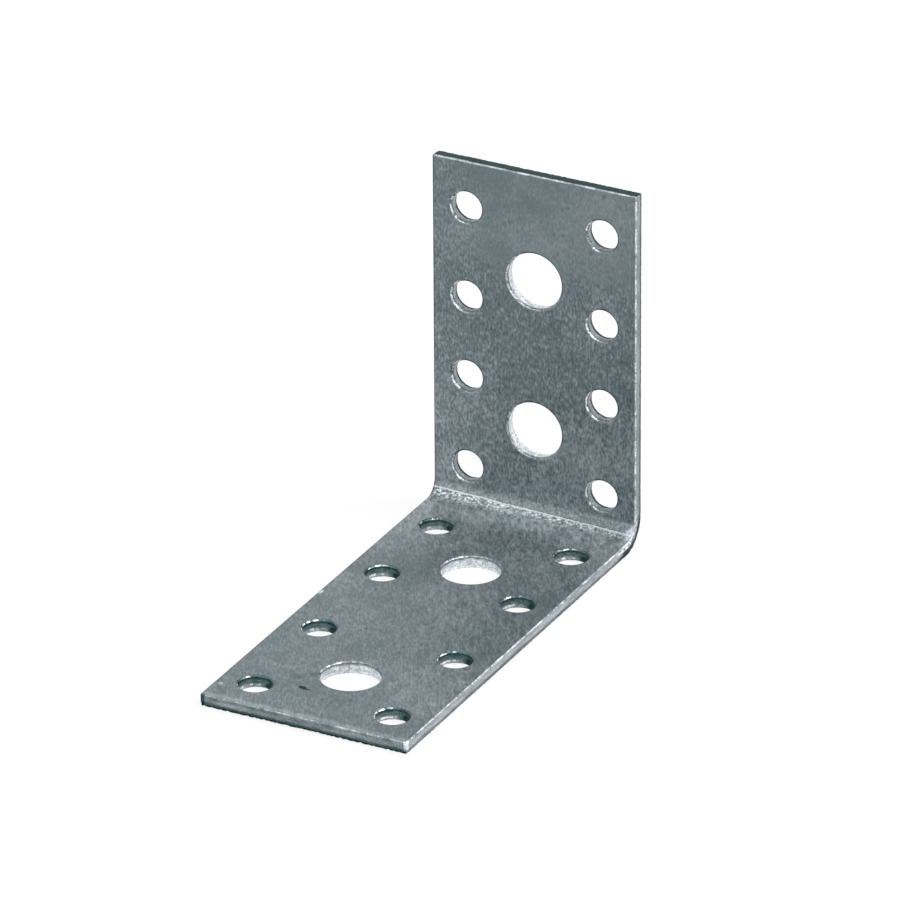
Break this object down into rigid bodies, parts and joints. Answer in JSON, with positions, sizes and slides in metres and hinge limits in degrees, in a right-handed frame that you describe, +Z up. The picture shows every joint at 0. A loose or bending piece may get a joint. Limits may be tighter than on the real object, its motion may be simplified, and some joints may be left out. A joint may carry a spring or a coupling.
{
  "type": "angle bracket",
  "caption": "Angle bracket of zinc-coated steel sheet folded to a right angle, with nail holes and larger bolt holes punched through each leg.",
  "frame": {"origin": "On the underside of the foot leg, under the middle of the bracket's outline box.", "axes": "+X across the strip, +Y along the foot leg towards the fold, so the back face looks along +Y, and +Z up the wall leg."},
  "size_m": [0.034, 0.076, 0.058],
  "materials": {
    "zinc_coated_steel": "dull zinc coating, finely mottled, with bright rolled edges"
  },
  "bodies": {
    "root": {"bracket": "zinc_coated_steel"}
  },
  "joints": []
}
